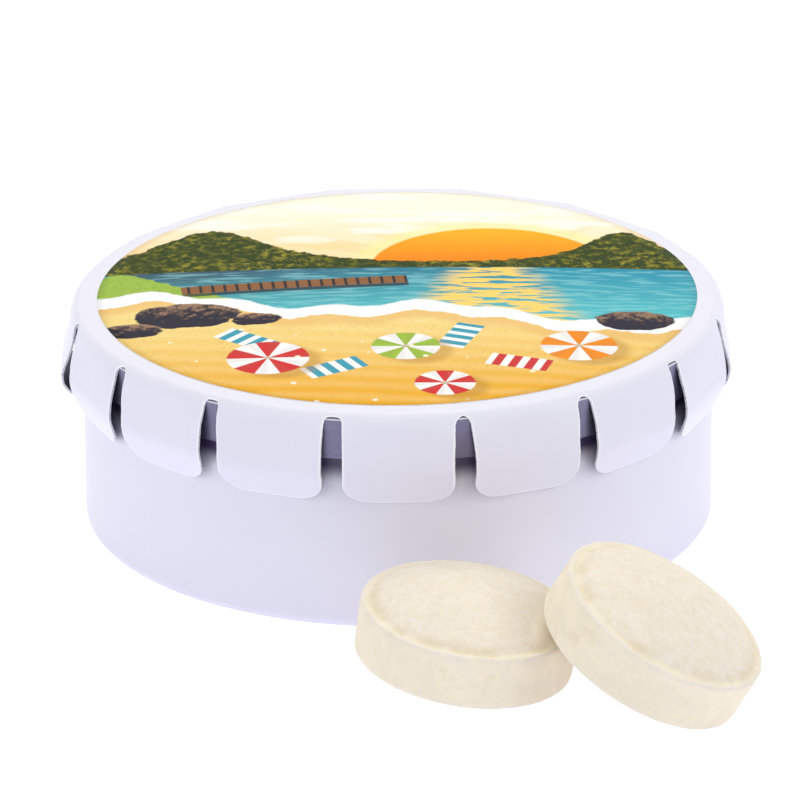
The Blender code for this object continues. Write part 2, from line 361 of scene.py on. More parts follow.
def sugar_finish(colour):
    """Chalky pressed sugar: clouds, fine grain, faces darker and pinker with painted shade, patchy tan
    painted shade in the groove by a whitish ragged edge.
    """
    made = Finish("pressed_sugar", 0.75)
    edge, groove, face = (made.mark(name) for name in ("raised_edge", "groove", "face"))
    cloud = made.noise(0.5, 4.0, 0.6)
    sugar = made.mix(cloud.above(0.5, 0.16), shade(colour, 0.955), shade(colour, 1.035))
    # the faces are darker and pinker than the side: painted shade for the light that falls on them from
    # above, and a pinker tone
    sugar = made.mix(face * 0.5, sugar, (0.71, 0.63, 0.57))
    grain = made.noise(5.0, 4.0, 0.7)
    sugar = made.mix(grain.above(0.5, 0.2) * 0.5, sugar, shade(colour, 1.05))
    crumbs = made.noise(1.3, 5.0, 0.8).above(0.53, 0.07) * face
    sugar = made.mix(crumbs * 0.45, sugar, (0.92, 0.86, 0.79))
    # painted shade: patchy tan darkening in the groove inside the raised edge
    patchy_groove_shade = made.noise(0.38, 3.0).above(0.50, 0.08) * groove
    sugar = made.mix(patchy_groove_shade * 0.6, sugar, (0.76, 0.64, 0.43))
    spots = made.noise(0.55, 3.0).above(0.66, 0.05) * made.noise(2.2, 2.0).above(0.45, 0.1)
    sugar = made.mix(spots * 0.35, sugar, (0.82, 0.71, 0.47))
    chalk = made.noise(1.7, 5.0, 0.75).above(0.57, 0.05)
    ragged = made.noise(2.6, 5.0, 0.75).above(0.5, 0.07)
    sugar = made.mix(edge * (0.35 + 0.5 * ragged), sugar, (0.84, 0.78, 0.73))
    sugar = made.mix(chalk * 0.35, sugar, (0.87, 0.81, 0.74))
    made.set("Base Color", sugar)
    made.set("Roughness", 0.68 + 0.2 * grain)
    made.set("Specular IOR Level", 0.3)
    made.bump(made.noise(4.5, 5.0, 0.75), 0.07 * MM, 0.9)
    return made.material


# the print's places and sizes, in millimetres from its middle, and its turns in radians
HORIZON = 4.5
SUN_PLACE = (7.0, HORIZON - 0.3)
RED = (0.66, 0.04, 0.04)
BRICK = (0.62, 0.05, 0.05)
GREEN = (0.34, 0.52, 0.06)
ORANGE = (0.90, 0.28, 0.02)
TEAL = (0.06, 0.34, 0.44)
ROCKS = ((-15.5, -4.6, 3.9), (-10.4, -5.6, 1.9), (-19.5, -7.2, 2.2), (17.4, -6.2, 2.9))
TOWELS = (
    (-4.6, -15.2, 0.5, TEAL), (8.8, -14.4, -0.3, BRICK),
    (-11.0, -9.6, -0.7, TEAL), (4.6, -9.4, 1.2, TEAL),
)
PARASOLS = (
    (-9.4, -13.2, 3.0, RED), (0.6, -11.4, 2.5, GREEN),
    (13.2, -11.2, 2.8, ORANGE), (3.4, -18.2, 2.2, RED),
)


class Picture:
    """A print built up in layers."""

    def __init__(self, made, ground):
        self.made = made
        self.across, self.up, _ = made.axes()
        self.colour = ground

    def lay(self, share, colour):
        self.colour = self.made.mix(share, self.colour, colour)

    def from_point(self, x, y, turned=0.0, shapes=(1.0, 1.0)):
        """Distances along two axes from a point, turned and squeezed."""
        right, up = self.across - x, self.up - y
        level, slope = cos(turned), sin(turned)
        return (right * level + up * slope) / shapes[0], (up * level - right * slope) / shapes[1]

    def disc(self, x, y, radius, softness=0.08, ragged=0.0, shapes=(1.0, 1.0)):
        """1 inside a disc or an oval, and the angle round its middle."""
        right, up = self.from_point(x, y, shapes=shapes)
        reach = (right * right + up * up).power(0.5)
        if ragged:
            reach = reach + ragged * (self.made.noise(0.6, 4.0) - 0.5)
        return reach.below(radius, softness), up.angle_from(right)

    def strip(self, x, y, turned, half_long, half_wide):
        """1 inside a turned oblong, and the distance along it."""
        along, aside = self.from_point(x, y, turned)
        inside = along.size().below(half_long, 0.06) * aside.size().below(half_wide, 0.06)
        return inside, along


def parasol(picture, x, y, radius, colour):
    """A striped beach parasol seen from above, with its shadow."""
    shadow, _ = picture.disc(x + 0.9, y - 0.8, radius, 0.5)
    picture.lay(shadow * 0.45, (0.42, 0.20, 0.04))
    inside, angle = picture.disc(x, y, radius)
    stripe = (angle * 5).wave().above(0.0, 0.12)
    shade_side = (angle * 10).wave() * 0.5 + 0.5
    picture.lay(inside, picture.made.mix(stripe, (0.94, 0.93, 0.90), colour))
    picture.lay(inside * shade_side * 0.16, (0.30, 0.16, 0.10))
    knob, _ = picture.disc(x, y, 0.28)
    picture.lay(knob, (0.60, 0.50, 0.36))


def towel(picture, x, y, turned, colour):
    """A striped beach towel with a pale hem."""
    inside, along = picture.strip(x, y, turned, 2.3, 1.05)
    stripe = (along * 5.2).wave().above(0.1, 0.15)
    picture.lay(inside, picture.made.mix(stripe, colour, (0.93, 0.92, 0.88)))


def hump(across, middle, width, height):
    """The outline of a round hill."""
    return height / (1 + ((across - middle) / width).power(2))


def lay_sky(picture, colour):
    """A low sun with its rays, behind thin clouds."""
    made, up = picture.made, picture.up
    right, above = picture.from_point(*SUN_PLACE)
    spread = (right * right + above * above).power(0.5)
    ray = (above.angle_from(right) * 18).wave().above(0.1, 0.35)
    picture.lay(ray * spread.below(13, 9) * 0.5, (1.0, 0.97, 0.78))
    cloud = made.noise(0.16, 4.0, stretch=(0.8, 3.2, 1.0)).above(0.56, 0.05)
    picture.lay(cloud * (up - 8).above(2.0, 3.0) * 0.75, (1.0, 0.97, 0.90))
    halo, _ = picture.disc(*SUN_PLACE, 10.4, 0.9)
    picture.lay(halo * 0.7, (1.0, 0.86, 0.36))
    disc, _ = picture.disc(*SUN_PLACE, 9.0, 0.12)
    picture.lay(disc, made.mix(above / 8.5, colour, (1.0, 0.46, 0.02)))


def lay_bay(picture, settings, grain):
    """Far hills, the sea with the sun's glitter, a near hill and a jetty."""
    made, across, up = picture.made, picture.across, picture.up
    far = HORIZON + hump(across, -14, 5.5, 9.0) + hump(across, 17, 3.6, 8.0)
    leafy = made.noise(1.4, 6.0, 0.75).above(0.57, 0.12)
    leaves = made.mix(leafy, settings.hills, (0.42, 0.36, 0.04))
    leaves = made.mix(made.noise(0.3, 2.0).above(0.5, 0.12) * 0.6, leaves, (0.03, 0.05, 0.01))
    picture.lay((up - far - 1.6 * (grain - 0.5)).below(0.0, 0.15), leaves)

    deep = made.mix((across + 14) / 26, (0.05, 0.09, 0.13), (0.03, 0.28, 0.40))
    sea = made.mix((HORIZON - up) / 9, deep, settings.sea)
    ripple = made.noise(0.75, 3.0, stretch=(0.45, 2.6, 1.0))
    sea = made.mix(ripple.above(0.54, 0.06) * 0.45, sea, (0.30, 0.66, 0.68))
    picture.lay(up.below(HORIZON, 0.1), sea)
    beside = (across - SUN_PLACE[0]).size() - 0.35 * (HORIZON - up)
    glitter = beside.below(2.4, 1.6) * ripple.above(0.46, 0.05)
    picture.lay(glitter * up.below(HORIZON, 0.1), (1.0, 0.66, 0.16))

    near = hump(across, -20, 7, 11) - 6.8 + 0.5 * (across * 0.8).wave()
    near_hill = (up - near - 1.2 * (grain - 0.5)).below(0.0, 0.12)
    lime = made.mix(made.noise(2.8, 4.0, 0.7), (0.16, 0.30, 0.03), (0.50, 0.68, 0.12))
    picture.lay(near_hill * across.below(0.0, 0.6), lime)
    jetty, along = picture.strip(-7.6, 1.3, 0.09, 8.4, 0.75)
    gap = (along * 7).wave().above(0.7, 0.25)
    picture.lay(jetty, made.mix(gap, (0.27, 0.12, 0.05), (0.04, 0.03, 0.03)))
    edge, _ = picture.strip(-7.5, 0.25, 0.09, 8.4, 0.3)
    picture.lay(edge * 0.85, (0.03, 0.03, 0.04))


def lay_beach(picture, settings, grain):
    """Rippled sand up to a line of surf; gives how far a point lies inland."""
    made, across, up = picture.made, picture.across, picture.up
    swell = 1.1 * (across * 0.30 + 0.6).wave() + 0.45 * (across * 0.95).wave()
    inland = swell - 4.4 - 0.14 * across + 0.5 * (grain - 0.5) - up
    sand = made.mix((up + 19) / 13, settings.sand_near, settings.sand_far)
    ripples = (up * 3.0 + 3.0 * made.noise(0.25, 3.0) + across * 0.35).wave() * 0.5 + 0.5
    sand = made.mix(ripples * 0.16, sand, (1.0, 0.86, 0.50))
    sand = made.mix(made.noise(5.0, 2.0).above(0.62, 0.05) * 0.35, sand, (0.66, 0.33, 0.08))
    picture.lay(inland.above(0.0, 0.08), sand)
    picture.lay(inland.above(0.0, 0.5) * inland.below(2.6, 0.9) * 0.55, (0.80, 0.44, 0.14))
    froth = inland - 1.6 * (made.noise(0.5, 4.0) - 0.4)
    picture.lay(inland.above(-1.0, 0.2) * froth.below(0.9, 0.12), (0.97, 0.97, 0.95))
    return inland


def print_finish(settings):
    """A plain seaside print."""
    made = Finish("seaside_print", 0.3)
    _, up, _ = made.axes()
    grain = made.noise(1.2, 4.0)
    picture = Picture(made, made.mix((up - HORIZON) / 13, (1.0, 0.60, 0.14), (1.0, 0.94, 0.76)))
    lay_sky(picture, settings.sun)
    lay_bay(picture, settings, grain)
    inland = lay_beach(picture, settings, grain)

    rough = made.noise(1.6, 5.0, 0.7)
    for x, y, radius in ROCKS:
        rock, _ = picture.disc(x, y, radius, 0.12, 1.6, (1.0, 0.62))
        lit = (rough + (picture.up - y) / (3.2 * radius)).above(0.62, 0.14)
        picture.lay(rock, made.mix(lit, (0.03, 0.027, 0.04), (0.36, 0.22, 0.14)))
    for thing, places in ((towel, TOWELS), (parasol, PARASOLS)):
        for place in places:
            thing(picture, *place)
    shells = made.cells(0.42).below(0.09, 0.03) * inland.above(3.4, 0.3)
    picture.lay(shells * 0.9, (1.0, 0.93, 0.74))

    made.set("Base Color", picture.colour)
    made.set("Roughness", 0.42 + 0.06 * made.noise(1.0, 3.0))
    made.set("Specular IOR Level", 0.02)
    return made.material


def film_finish():
    """The white cut edge of the printed film."""
    made = Finish("film_edge", 0.4)
    made.set("Base Color", made.mix(made.noise(2.0), (0.86, 0.86, 0.88), (0.93, 0.93, 0.94)))
    return made.material


# ---- shaping


def section(points):
    """A wire through (radius, height) points, and its corners."""
    shape = bmesh.new()
    corners = [shape.verts.new((radius, 0, height)) for radius, height in points]
    for pair in zip(corners, corners[1:]):
        shape.edges.new(pair)
    return shape, corners


def round_corner(shape, corner, offset, segments):
    form = {"offset": offset, "segments": segments, "profile": 0.5, "affect": "VERTICES"}
    bmesh.ops.bevel(shape, geom=[corner], material=-1, **form)


def turn(shape, steps):
    """Spins a section round the axis and closes the poles."""
    whole = {"cent": (0, 0, 0), "axis": (0, 0, 1), "angle": 2 * pi, "use_merge": True}
    bmesh.ops.spin(shape, geom=shape.verts[:] + shape.edges[:], steps=steps, **whole)
    bmesh.ops.remove_doubles(shape, verts=shape.verts[:], dist=MERGE)
    bmesh.ops.recalc_face_normals(shape, faces=shape.faces[:])


def new_marks(shape, *names):
    """New values, one by each name, that the corners of a shape carry."""
    for name in names:
        shape.verts.layers.float.new(name)
    return [shape.verts.layers.float[name] for name in names]


def face_outward(shape):
    """Makes an open sheet's normals point up and away from the axis."""
    bmesh.ops.recalc_face_normals(shape, faces=shape.faces[:])
    shape.normal_update()
    highest = max(shape.faces, key=lambda face: face.calc_center_median().z)
    if highest.normal.z < 0:
        bmesh.ops.reverse_faces(shape, faces=shape.faces[:])


def add_object(name, data):
    made = bpy.data.objects.new(name, data)
    bpy.context.scene.collection.objects.link(made)
    return made


def to_mesh(name, shape, materials):
    mesh = bpy.data.meshes.new(name)
    shape.to_mesh(mesh)
    shape.free()
    for material in materials:
        mesh.materials.append(material)
    return mesh


def make_piece(name, shape, materials):
    mesh = to_mesh(name, shape, materials)
    mesh.shade_smooth()
    mesh.set_sharp_from_angle(angle=SHARP)
    piece = add_object(name, mesh)
    return piece


def make_disc(name, points, thickness, rim, materials):
    """A sheet turned from its upper side, which keeps its wall live while it bends."""
    shape, _ = section(points)
    turn(shape, DISC_STEPS)
    face_outward(shape)
    piece = make_piece(name, shape, materials)
    wall = piece.modifiers.new("wall", "SOLIDIFY")
    wall.thickness = thickness
    wall.offset = -1
    wall.material_offset = 1
    wall.material_offset_rim = rim
    return piece


def shared(name, make, *args):
    """A finish that is made once and shared by the pieces."""
    return bpy.data.materials.get(name) or make(*args)


def sheet_finishes(finish):
    """The enamel and the uncoated tinplate of cup and lid; the tinplate's dark colour is partly painted
    shade.
    """
    enamel = shared("white_enamel", enamel_finish, finish.enamel)
    return enamel, shared("bare_tinplate", tinplate_and_shade_finish, finish.tinplate)


# ---- cup


# the hem: its gap to the wall, and its foot's outer and inner corners
HEM_GAP = 0.06 * MM
HEM_FOOT_CORNER = 0.16 * MM
HEM_FOOT_INNER_CORNER = 0.05 * MM


class MINTTIN_OT_cup(bpy.types.Operator):
    """Turn the drawn cup with its folded hem"""

    bl_idname = "mint_tin.cup"
    bl_label = "Cup"

    def execute(self, context):
        size, finish = context.scene.mint_tin.tin, context.scene.mint_tin.finish
        wall, inner, outer = size.radius, size.radius - size.sheet, size.radius + size.hem
        neck, foot = size.height - size.shade_depth, size.height - size.hem_depth
        gap, gap_top = wall + HEM_GAP, foot + 4 * size.sheet
        points = [(0, 0), (wall, 0), (wall, neck), (wall, gap_top), (gap, gap_top), (gap, foot)]
        points += [(outer, foot), (outer, size.height), (inner, size.height)]
        points += [(inner, size.sheet), (0, size.sheet)]
        shape, corners = section(points)
        round_corner(shape, corners[1], size.base_corner, 8)
        round_corner(shape, corners[5], HEM_FOOT_INNER_CORNER, 2)
        round_corner(shape, corners[6], HEM_FOOT_CORNER, 3)
        round_corner(shape, corners[7], 0.2 * size.sheet, 3)
        round_corner(shape, corners[8], 0.98 * size.sheet, 6)
        round_corner(shape, corners[9], size.base_corner - size.sheet, 6)
        turn(shape, size.steps)
        for face in shape.faces:
            centre = face.calc_center_median()
            reach = hypot(centre.x, centre.y)
            inward = face.normal.x * centre.x + face.normal.y * centre.y < 0
            inside = reach < wall and (inward or face.normal.z > 0.5)
            # the neck between these heights takes enamel with painted shade
            on_neck = neck < centre.z < foot
            # painted light: the hem's top takes the white enamel, a pale line in the dark gap under the
            # lid's cut edge
            hem_top_painted_light = reach > wall and centre.z > size.height - 0.3 * size.sheet
            # the inside and the hem take the dark tinplate, which is partly painted shade
            darkened = inside or foot < centre.z and not hem_top_painted_light
            face.material_index = 1 if darkened else 2 if on_neck else 0
        neck_shade = shared("thin_enamel", painted_neck_shade_finish, finish.enamel, neck, foot)
        piece = make_piece("tin_cup", shape, (*sheet_finishes(finish), neck_shade))
        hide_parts("tin_body")
        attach(piece, "tin")
        return {"FINISHED"}


# ---- lid


# facets of the flat blanks
SLIT_COLUMNS = 12
PETAL_COLUMNS = 28
OVER_ROWS = 14
FLANK_ROWS = 5
BELOW_ROWS = 3
FLARE_ROWS = 18
BEND_ROWS = 8
LIP_ROWS = 16
# the ring's inner radius, and its flat rows as distances out from the shoulder's start
RING_INNER = 21.8 * MM
FLAT_ROWS = (-1.12 * MM, -0.8 * MM, -0.5 * MM, -0.25 * MM)
# the section and the way a petal turns flat
ROLL = 1.1 * MM
SHOULDER_END = radians(11.3)
DOME_RADIUS = 22.3 * MM
FLAT_RADIUS = 24 * MM
FLAT_START = 0.35 * MM
PITCH = 2 * HALF_SECTOR * FLAT_RADIUS
SLIT_TAPER = 3 * MM
# cut edges: raggedness, and (depth, width) of the roll and of the rounding
BURR = 0.02 * MM
BURR_REACH = 0.3 * MM
SEAM_FADE = 0.2 * MM
EDGE_ROLL = (0.04 * MM, 0.22 * MM)
EDGE_ROUND = (0.035 * MM, 0.04 * MM)
# width of the painted highlight along the cut edges
EDGE_HIGHLIGHT_WIDTH = 0.17 * MM
# left half and right half as shares of slit_half, and squareness of a slit's top
USUAL_SLIT = (0.95, 0.95, 2.4)
SLIT_TOPS = {
    0: (0.94, 0.72, 1.6), 1: (0.92, 0.80, 1.7), 2: (0.84, 0.84, 7.0), 3: (0.80, 0.76, 1.6),
    12: (0.94, 0.90, 3.5), 13: (0.94, 0.78, 1.8), 14: (0.90, 0.84, 3.0), 15: (0.96, 1.0, 3.0),
}
# how many millimetres a petal's crease stands out further than the usual one
FLARES = {3: 0.08, 4: 0.22, 5: 0.12, 7: -0.05, 9: 0.06, 11: 0.15, 12: 0.52, 13: 0.05}
# how many millimetres a back petal's shoulder is hollowed, and from where to where down it
HOLLOW_REACH = (-0.5 * MM, 0.25 * MM, 1.05 * MM)
HOLLOWS = {5: 0.38, 6: 0.24, 7: 0.20, 8: 0.16, 9: 0.13, 10: 0.16, 11: 0.34}
# over how many millimetres of height a petal turns flat
USUAL_FALL = 1.7
FLAT_FALLS = {2: 2.2, 3: 3.0, 4: 5.0, 12: 5.6, 13: 3.0, 14: 2.2}


def slit_form(number):
    return SLIT_TOPS.get(number % PETALS, USUAL_SLIT)


def eased(share):
    """A share along a petal's width, with finer steps at its sides."""
    return share - 0.85 * sin(2 * pi * share) / (2 * pi)


def ramp(value, start, end):
    """A smooth rise from 0 at a start to 1 at an end."""
    share = min(1.0, max(0.0, (value - start) / (end - start)))
    return share * share * (3 - 2 * share)


def spaced(start, end, count):
    """Even steps from a start towards an end that is left out."""
    return [start + (end - start) * step / count for step in range(count)]


class LidSection:
    """The lid's section: flat ring, rounded shoulder, flare, crease and lip."""

    def __init__(self, lid):
        self.lid = lid
        self.centre_height = lid.plane - lid.shoulder_depth
        self.shoulder_length = ROLL * (pi / 2 - SHOULDER_END)
        self.start = self.shoulder_point(self.shoulder_length)
        crease = Vector((lid.crease_radius, lid.crease_height))
        foot = Vector((lid.lip_radius, lid.lip_height))
        self.upper = (crease - self.start).normalized()
        self.lower = (foot - crease).normalized()
        bend = self.upper.angle(self.lower)
        back = lid.crease_bend * tan(bend / 2)
        self.bend_start = crease - self.upper * back
        self.bend_end = crease + self.lower * back
        self.arm = Vector((-self.upper.y, self.upper.x)) * lid.crease_bend
        self.flare_end = self.shoulder_length + (self.bend_start - self.start).length
        self.bend_length = self.flare_end + lid.crease_bend * bend
        self.end = self.bend_length + (foot - self.bend_end).length

    def shoulder_point(self, along):
        lid = self.lid
        angle = pi / 2 - along / ROLL
        return Vector((
            lid.shoulder_start + lid.shoulder_width * cos(angle),
            self.centre_height + lid.shoulder_depth * sin(angle),
        ))

    def point(self, along):
        """(radius, height) this far along the section from the flat ring's edge."""
        lid = self.lid
        if along <= 0:
            radius = lid.shoulder_start + along
            rise = max(0.0, 1 - (radius / DOME_RADIUS) ** 2)
            return Vector((radius, lid.plane + lid.dome * rise))
        if along <= self.shoulder_length:
            return self.shoulder_point(along)
        if along <= self.flare_end:
            return self.start + self.upper * (along - self.shoulder_length)
        if along <= self.bend_length:
            turned = Matrix.Rotation((self.flare_end - along) / lid.crease_bend, 2) @ self.arm
            return self.bend_start - self.arm + turned
        return self.bend_end + self.lower * (along - self.bend_length)

    def disc_points(self, radius, lift):
        """(radius, height) points over the sprung centre, from the axis outward."""
        start = self.lid.shoulder_start
        places = [self.point(radius * step / DISC_RINGS - start) for step in range(DISC_RINGS + 1)]
        return [(place.x, place.y + lift) for place in places]

    def slit_half(self, number, side, along):
        """How far a slit's side lies from its middle."""
        left, right, _ = slit_form(number)
        top = left if side < 0 else right
        cap = self.lid.slit_top + self.lid.slit_half
        return self.lid.slit_half * (top + (1 - top) * ramp(along, cap, cap + SLIT_TAPER))

    def hollow(self, petal, across, along):
        """How deep the shoulder is hollowed at a point of a petal."""
        start, deepest, end = HOLLOW_REACH
        over = ramp(along, start, deepest) * ramp(along, end, deepest)
        middle = max(0.0, 1 - (across / FLAT_RADIUS / HALF_SECTOR) ** 2)
        return HOLLOWS.get(petal, 0.0) * MM * over * middle

    def press(self, across, along, petal):
        """Where a point of the flat blank lands, given from a petal's middle line."""
        radius, height = self.point(along)
        down = (along - self.shoulder_length) / (self.bend_length - self.shoulder_length)
        up = (self.end - along) / (self.end - self.bend_length)
        radius += FLARES.get(petal, 0.0) * MM * ramp(min(1.2 * down - 0.2, up), 0, 1)
        start = self.lid.plane - FLAT_START
        flat_share = ramp(height, start, start - FLAT_FALLS.get(petal, USUAL_FALL) * MM)
        angle = across / FLAT_RADIUS
        angle += flat_share * (atan2(across, radius) - angle)
        radius *= 1 + flat_share * (1 / cos(angle) - 1)
        azimuth = 2 * petal * HALF_SECTOR - pi / 2 + angle
        height -= self.hollow(petal, across, along)
        return Vector((radius * cos(azimuth), radius * sin(azimuth), height))


def burr(seed, place, distance):
    """A small ragged shift of a cut edge, which fades away from it."""
    at = Vector((place / MM * 3.1, seed * 7.7, 0.5))
    ragged = noise.noise(at) + 0.6 * noise.noise(at * 2.7)
    return BURR * ragged * max(0.0, 1 - distance / BURR_REACH)


def grid_blank(columns, rows):
    """A flat grid whose corners carry their column and row in x and y."""
    shape = bmesh.new()
    bmesh.ops.create_grid(shape, x_segments=columns, y_segments=rows, size=1)
    for corner in shape.verts:
        column = round((corner.co.x + 1) / 2 * columns)
        row = round((1 - corner.co.y) / 2 * rows)
        corner.co = (column, row, 0)
    return shape


def edge_roll(distance):
    """How far a sheet's cut edge is rolled inward at a distance from it."""
    distance = max(0.0, distance)
    drop = 0.0
    for depth, width in (EDGE_ROLL, EDGE_ROUND):
        drop += depth * max(0.0, 1 - distance / width) ** 2
    return drop


def arch(lean, squareness):
    """A point of a slit's round top, as shares of its half width and its rise."""
    bend = 2 / squareness
    return cos(lean) ** bend, sin(lean) ** bend


def ring_row(lid, cut, row, lean, squareness):
    """How far down the blank a row of the ring lies."""
    cap = lid.slit_top + lid.slit_half
    if row > OVER_ROWS + FLANK_ROWS:
        share = (row - OVER_ROWS - FLANK_ROWS) / BELOW_ROWS
        return cap + (cut.shoulder_length - cap) * share
    roof = cap - lid.slit_half * arch(lean, squareness)[1]
    return roof * (1 - (1 - min(1.0, row / OVER_ROWS)) ** 1.4)


def ring_blank(lid, cut, number):
    """One sector of the ring, flat, centred on a slit whose top is left open."""
    rows_in = [RING_INNER - lid.shoulder_start, *FLAT_ROWS]
    _, _, squareness = slit_form(number)
    side_columns = PETAL_COLUMNS // 2
    rows = len(rows_in) + OVER_ROWS + FLANK_ROWS + BELOW_ROWS
    shape = grid_blank(2 * side_columns + SLIT_COLUMNS, rows)
    gone = []
    for corner in shape.verts:
        column = round(corner.co.x) - side_columns
        row = round(corner.co.y) - len(rows_in)
        side = -1 if column <= SLIT_COLUMNS / 2 else 1
        count = max(-column, column - SLIT_COLUMNS, 0)
        into = min(column, SLIT_COLUMNS - column)
        lean = pi / 4 * (1 + 2 * max(0, into) / SLIT_COLUMNS)
        if row > OVER_ROWS:
            lean = pi / 4 * max(0.0, 1 - (row - OVER_ROWS) / FLANK_ROWS)
            if into > 0:
                gone.append(corner)
        if row < 0:
            along = rows_in[row]
        else:
            along = ring_row(lid, cut, row, lean, squareness)
            usual = ring_row(lid, cut, row, lean, USUAL_SLIT[2])
            along += (usual - along) * count / side_columns
        edge = cut.slit_half(number, side, along) * arch(lean, squareness)[0]
        across = edge + 2 * eased(0.5 * count / side_columns) * (PITCH / 2 - edge)
        corner.co = (side * across, along, 0)
    bmesh.ops.delete(shape, geom=gone, context="VERTS")
    return shape


def slit_distance(lid, cut, number, across, along):
    """How far a point of the ring's blank lies from the slit, and where along its edge."""
    side = 1 if across > 0 else -1
    half = cut.slit_half(number, side, along)
    above = lid.slit_top + lid.slit_half - along
    if above <= 0:
        return max(0.0, abs(across) - half), side * (pi / 2 * lid.slit_half - above)
    _, _, squareness = slit_form(number)
    reach = (abs(across) / half) ** squareness + (above / lid.slit_half) ** squareness
    share = 1 - reach ** (-1 / squareness)
    place = atan2(across, above) * lid.slit_half
    return max(0.0, Vector((across, above)).length * share), place


def lid_petal_blank(lid, cut, number):
    """One petal, flat, from the ring's seam to its lip with rounded corners."""
    rows = spaced(cut.shoulder_length, cut.flare_end, FLARE_ROWS)
    rows += spaced(cut.flare_end, cut.bend_length, BEND_ROWS)
    lip_rows = [eased(0.5 + row / (2 * LIP_ROWS)) * 2 - 1 for row in range(LIP_ROWS + 1)]
    shape = grid_blank(PETAL_COLUMNS, len(rows) + LIP_ROWS)
    for corner in shape.verts:
        share = eased(corner.co.x / PETAL_COLUMNS)
        row = round(corner.co.y)
        if row < len(rows):
            along = rows[row]
        else:
            lip_share = lip_rows[row - len(rows)]
            along = cut.bend_length + lip_share * (cut.end - cut.bend_length)
        slit, side = (number - 1, 1) if share < 0.5 else (number, -1)
        half = PITCH / 2 - cut.slit_half(slit, side, along)
        across = (2 * share - 1) * half
        from_edge = half - abs(across)
        if row >= len(rows):
            bite = max(0.0, 1 - from_edge / lid.lip_corner)
            lift = lid.lip_corner_rise * (1 - sqrt(1 - bite * bite))
            along -= lip_share * lift
            from_edge = min(from_edge, (1 - lip_share) * (cut.end - cut.bend_length))
        corner.co = (across, along, from_edge)
    return shape


def close_sheet(shape, thickness):
    """Gives a sheet its wall, bare inside, and rolls its cut edges in by their mark."""
    face_outward(shape)
    outward = shape.verts.layers.float_vector.new("outward")
    mark = shape.verts.layers.float["roll"]
    for corner in shape.verts:
        corner[outward] = corner.normal
    outer = set(shape.faces)
    top = set(shape.verts)
    bmesh.ops.extrude_face_region(shape, geom=shape.faces[:], use_keep_orig=True)
    for corner in shape.verts:
        corner.co -= corner[outward] * (corner[mark] if corner in top else thickness)
    for face in shape.faces:
        if face not in outer:
            face.material_index = 2 if any(corner in top for corner in face.verts) else 1
    bmesh.ops.recalc_face_normals(shape, faces=shape.faces[:])
    shape.verts.layers.float.remove(mark)
    shape.verts.layers.float_vector.remove(outward)


class MINTTIN_OT_lid(bpy.types.Operator):
    """Press the lid: its ring with slit tops, its sprung centre and its petals"""

    bl_idname = "mint_tin.lid"
    bl_label = "Lid"

    def execute(self, context):
        lid, finish = context.scene.mint_tin.lid, context.scene.mint_tin.finish
        cut = LidSection(lid)
        edge = shared("cut_edge", cut_edge_finish, finish.enamel)
        materials = (*sheet_finishes(finish), edge)
        self.make_ring(lid, cut, materials)
        self.make_panel(lid, cut, materials)
        for number in range(PETALS):
            self.make_petal(number, lid, cut, materials)
        return {"FINISHED"}

    def make_ring(self, lid, cut, materials):
        whole = bmesh.new()
        new_marks(whole, "roll", "rim")
        for number in range(PETALS):
            blank = ring_blank(lid, cut, number)
            roll, rim = new_marks(blank, "roll", "rim")
            for corner in blank.verts:
                across, along, _ = corner.co
                side = 1 if across > 0 else -1
                beside, place = slit_distance(lid, cut, number, across, along)
                corner[roll] = edge_roll(beside)
                # the rim mark carries the painted highlight along the slit's cut edge
                corner[rim] = ramp(beside, EDGE_HIGHLIGHT_WIDTH, 0)
                fade = min(1.0, (cut.shoulder_length - along) / SEAM_FADE)
                shift = burr(number, place, beside) * fade
                lean = min(abs(place) / lid.slit_half, pi / 2)
                across += side * shift * sin(lean)
                along -= shift * cos(lean)
                petal = (number + (side > 0)) % PETALS
                corner.co = cut.press(across - side * PITCH / 2, along, petal)
            part = to_mesh("blank", blank, ())
            whole.from_mesh(part)
            bpy.data.meshes.remove(part)
        bmesh.ops.remove_doubles(whole, verts=whole.verts[:], dist=MERGE)
        close_sheet(whole, lid.sheet)
        piece = make_piece("lid_ring", whole, materials)
        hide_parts("lid_shoulder")
        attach(piece, "lid")

    def make_panel(self, lid, cut, materials):
        points = cut.disc_points(RING_INNER, 0.0)
        piece = make_disc("lid_centre_sheet", points, lid.sheet, 0, materials)
        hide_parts("lid_panel")
        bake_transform(piece, "lid", "lid_centre", (0, 0, lid.plane), (0, 0, lid.plane + lid.dome))

    def make_petal(self, number, lid, cut, materials):
        shape = lid_petal_blank(lid, cut, number)
        roll, rim = new_marks(shape, "roll", "rim")
        for corner in shape.verts:
            across, along, from_edge = corner.co
            corner[roll] = edge_roll(from_edge)
            # the rim mark carries the painted highlight along the petal's cut edge
            corner[rim] = ramp(from_edge, EDGE_HIGHLIGHT_WIDTH, 0)
            fade = min(1.0, (along - cut.shoulder_length) / SEAM_FADE)
            across += burr(number + (0.2 if across > 0 else 0.7), along, from_edge) * fade
            corner.co = cut.press(across, along, number)
        close_sheet(shape, lid.sheet)
        piece = make_piece(f"lid_petal_sheet_{number + 1:02d}", shape, materials)
        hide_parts(f"lid_petal_{number + 1:02d}")
        top = cut.start.y
        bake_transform(piece, "lid", f"petal_{number + 1:02d}", (0, 0, top), (0, 0, top - 1.2 * MM))


# ---- label


